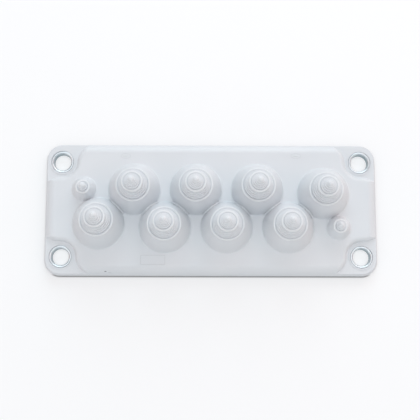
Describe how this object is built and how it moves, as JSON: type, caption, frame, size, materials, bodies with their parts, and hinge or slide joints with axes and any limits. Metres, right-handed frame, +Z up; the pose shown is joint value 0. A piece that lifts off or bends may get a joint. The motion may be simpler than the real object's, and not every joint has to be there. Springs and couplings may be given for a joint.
{
  "type": "cable entry flange",
  "caption": "Soft moulded flange plate with hollow stepped nipples that are cut to fit cables, and steel sleeves in its corner screw holes.",
  "frame": {"origin": "middle of the flat underside, on the surface that the flange is screwed to", "axes": "+X along the plate, +Y across it towards the rear row of nipples, +Z up along the nipples"},
  "size_m": [0.2476, 0.0992, 0.0515],
  "materials": {
    "body": "satin light grey elastomer",
    "sleeve": "bright zinc plated"
  },
  "bodies": {
    "root": {"flange_body": "body", "sleeve_front_left": "sleeve", "sleeve_front_right": "sleeve", "sleeve_rear_left": "sleeve", "sleeve_rear_right": "sleeve"}
  },
  "joints": []
}
